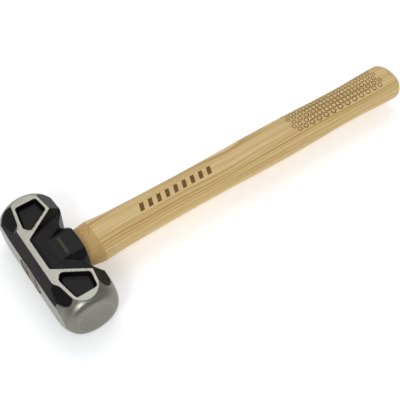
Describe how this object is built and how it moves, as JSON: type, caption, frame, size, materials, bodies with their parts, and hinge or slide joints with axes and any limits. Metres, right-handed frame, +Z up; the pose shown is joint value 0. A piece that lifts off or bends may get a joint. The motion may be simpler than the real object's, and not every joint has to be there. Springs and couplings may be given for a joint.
{
  "type": "sledgehammer",
  "caption": "Short-handled double-faced sledgehammer with a ribbed, pocketed octagonal forged head on an oval hickory shaft, wedged in the eye.",
  "frame": {"origin": "under the middle of the whole hammer's box, on the plane that it lies on", "axes": "+X along the shaft from the head to the butt, +Y along the striking axis, +Z up out of the upper cheek"},
  "size_m": [0.4108, 0.1304, 0.0486],
  "materials": {
    "forged_steel": "black paint left in the low places of the forging, linished bare on the ribs, the flat top and the turned ends",
    "hickory": "sanded hickory under a thin satin lacquer, with a burnt-in grip pattern near the butt",
    "wedge_timber": "raw hardwood, end grain showing",
    "wedge_steel": "plain mild steel, hammered flush"
  },
  "bodies": {
    "root": {"head": "forged_steel", "shaft": "hickory", "timber_wedge": "wedge_timber", "steel_wedge_left": "wedge_steel", "steel_wedge_right": "wedge_steel"}
  },
  "joints": []
}
